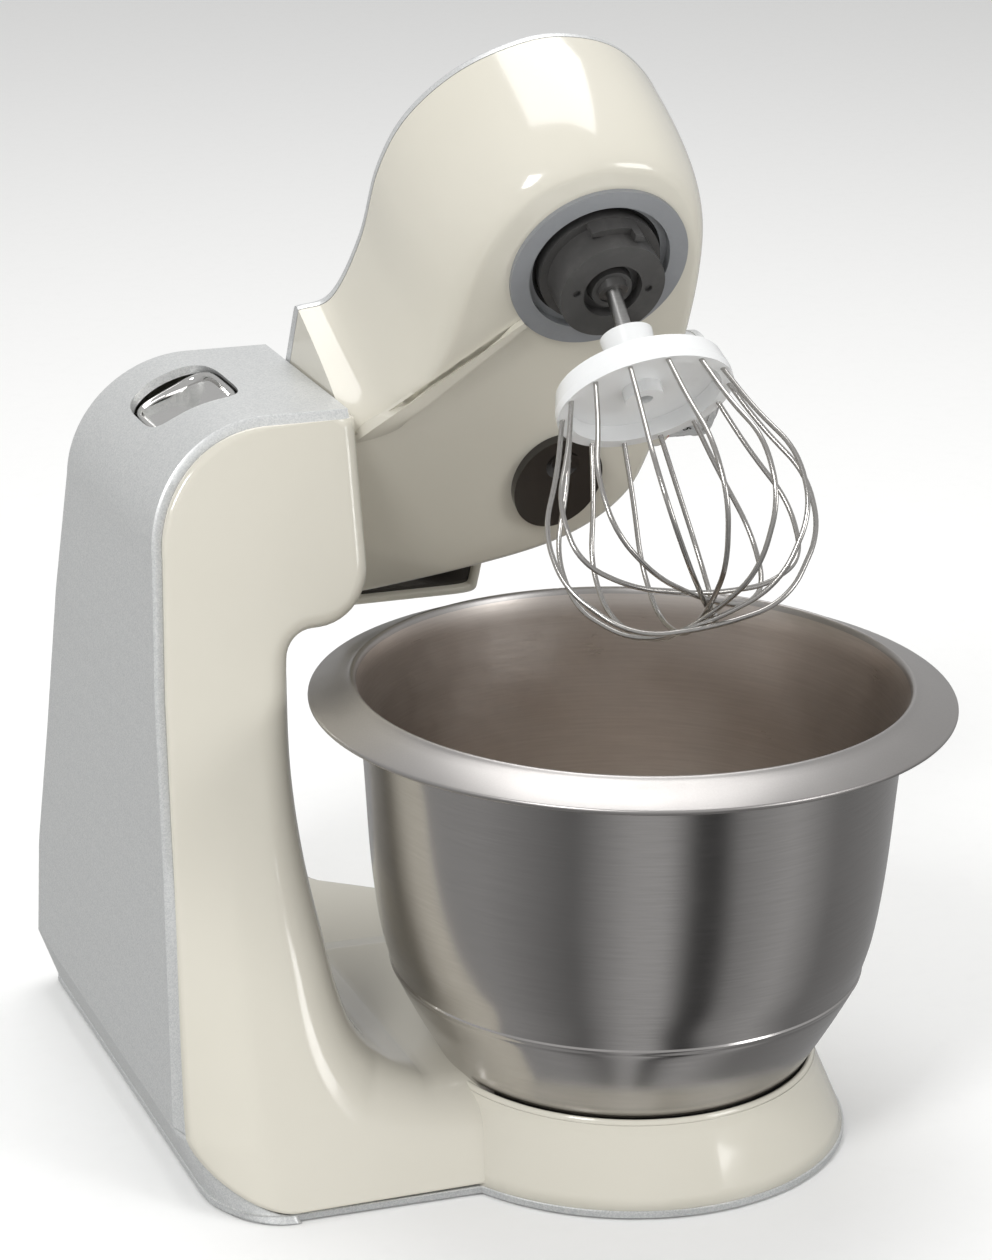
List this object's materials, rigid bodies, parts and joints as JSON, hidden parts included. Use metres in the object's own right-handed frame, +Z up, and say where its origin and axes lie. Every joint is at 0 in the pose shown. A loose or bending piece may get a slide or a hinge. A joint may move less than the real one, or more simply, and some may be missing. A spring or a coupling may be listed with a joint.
{
  "type": "stand mixer",
  "caption": "Compact stand mixer: a side tower carries a roll-up swivel arm with a tilted planetary whisk over a flanged steel bowl on a round stand.",
  "frame": {"origin": "where the bowl's axis meets the worktop, on the flat foot under the bowl stand", "axes": "+X from the tower towards the bowl, -Y towards the user, +Z up"},
  "size_m": [0.2855, 0.3118, 0.3856],
  "materials": {
    "cream_plastic": "gloss",
    "silver_paint": "satin",
    "chrome_trim": "polished",
    "bowl_steel": "brushed",
    "plain_steel": "machined",
    "cast_frame": "cast",
    "grey_plastic": "satin",
    "charcoal_plastic": "satin",
    "black_plastic": "gloss",
    "white_plastic": "gloss",
    "red_plastic": "gloss",
    "black_rubber": "matte",
    "copper_winding": "enamelled",
    "core_steel": "laminated",
    "bronze": "sintered",
    "board_green": "satin"
  },
  "bodies": {
    "base": {"casing_near": "cream_plastic", "casing_far": "cream_plastic", "tower_band": "silver_paint", "lower_tub": "silver_paint", "base_plate": "silver_paint", "suction_feet": "black_rubber", "base_screws": "plain_steel", "bowl_coupling": "charcoal_plastic", "control_board": "board_green", "mains_filter": "black_plastic", "cord_inlet": "black_rubber", "tower_frame": "cast_frame", "hinge_bushes": "bronze", "arm_spring": "plain_steel", "button_frame": "silver_paint", "button_spring": "plain_steel"},
    "button": {"release_button": "chrome_trim"},
    "latch": {"latch_bolt": "plain_steel"},
    "arm": {"arm_lower_housing": "cream_plastic", "knob_pocket": "cream_plastic", "arm_top_cover": "silver_paint", "arm_well": "black_plastic", "arm_gear_frame": "cast_frame", "hinge_tube": "plain_steel", "index_disc": "plain_steel", "spindle_bearings": "plain_steel", "slicer_bearing": "plain_steel", "motor_stator": "core_steel", "motor_brushes": "copper_winding", "motor_bearings": "plain_steel", "primary_belt": "black_rubber", "secondary_belt": "black_rubber", "drive_ring": "grey_plastic", "drive_seal": "black_rubber", "fixed_ring_gear": "white_plastic", "knob_index_ring": "red_plastic", "rotary_switch": "black_plastic"},
    "carrier": {"planet_carrier": "charcoal_plastic", "main_pulley": "grey_plastic"},
    "planet": {"planet_pinion": "plain_steel", "tool_socket": "charcoal_plastic"},
    "whisk": {"whisk_shaft": "plain_steel", "whisk_tang": "plain_steel", "whisk_hub": "white_plastic", "whisk_wires": "plain_steel"},
    "rotor": {"motor_shaft": "plain_steel", "rotor_core": "core_steel", "commutator": "copper_winding", "cooling_fan": "black_plastic", "motor_pulley": "cast_frame"},
    "slicer_drive": {"slicer_spindle": "plain_steel", "slicer_pulleys": "grey_plastic"},
    "knob": {"speed_knob": "silver_paint", "knob_cap": "chrome_trim"},
    "slicer_lid": {"slicer_cover": "black_plastic"},
    "blender_lid": {"blender_cover": "silver_paint"},
    "bowl": {"bowl": "bowl_steel", "bowl_foot_ring": "plain_steel"}
  },
  "joints": [
    {"name": "arm_tilt", "type": "hinge", "parent": "base", "child": "arm", "pos_m": [-0.1, 0.112, 0.2205], "axis": [-1, 0, 0], "range_deg": [-65.5, 0]},
    {"name": "main_spin", "type": "hinge", "parent": "arm", "child": "carrier", "pos_m": [0, 0.02688, 0.30479], "axis": [0, 0.91, 0.4147], "continuous": true},
    {"name": "tool_spin", "type": "hinge", "parent": "carrier", "child": "planet", "pos_m": [0, 0.02688, 0.30479], "axis": [0, 0.7009, 0.7133], "continuous": true},
    {"name": "whisk_pull", "type": "slide", "parent": "planet", "child": "whisk", "axis": [0, -0.7009, -0.7133], "range_m": [0, 0.018]},
    {"name": "motor_spin", "type": "hinge", "parent": "arm", "child": "rotor", "pos_m": [-0.038, 0.11155, 0.22029], "axis": [0, 0.91, 0.4147], "continuous": true},
    {"name": "slicer_spin", "type": "hinge", "parent": "arm", "child": "slicer_drive", "pos_m": [0.002, 0.10574, 0.23303], "axis": [0, 0.91, 0.4147], "continuous": true},
    {"name": "knob_turn", "type": "hinge", "parent": "arm", "child": "knob", "pos_m": [0.06, 0.10531, 0.24602], "axis": [1, 0, 0], "range_deg": [-30, 180]},
    {"name": "slicer_cover_pull", "type": "slide", "parent": "arm", "child": "slicer_lid", "axis": [0, -0.91, -0.4147], "range_m": [0, 0.008]},
    {"name": "blender_cover_pull", "type": "slide", "parent": "arm", "child": "blender_lid", "axis": [0, 0.91, 0.4147], "range_m": [0, 0.008]},
    {"name": "button_press", "type": "slide", "parent": "base", "child": "button", "axis": [0.3971, 0, -0.9178], "range_m": [0, 0.003], "stiffness_N_per_m": 600, "deforming": ["button_spring"]},
    {"name": "latch_lift", "type": "slide", "parent": "base", "child": "latch", "axis": [0, 0, 1], "range_m": [0, 0.004]},
    {"name": "bowl_turn", "type": "hinge", "parent": "base", "child": "bowl", "pos_m": [0, 0, 0.03], "axis": [0, 0, 1], "range_deg": [-25, 0]}
  ],
  "couplings": [
    {"joint": "tool_spin", "follows": "main_spin", "ratio": -2},
    {"joint": "slicer_spin", "follows": "main_spin", "ratio": 3.4074},
    {"joint": "motor_spin", "follows": "main_spin", "ratio": 10.377},
    {"joint": "latch_lift", "follows": "button_press", "ratio": 1.33}
  ]
}
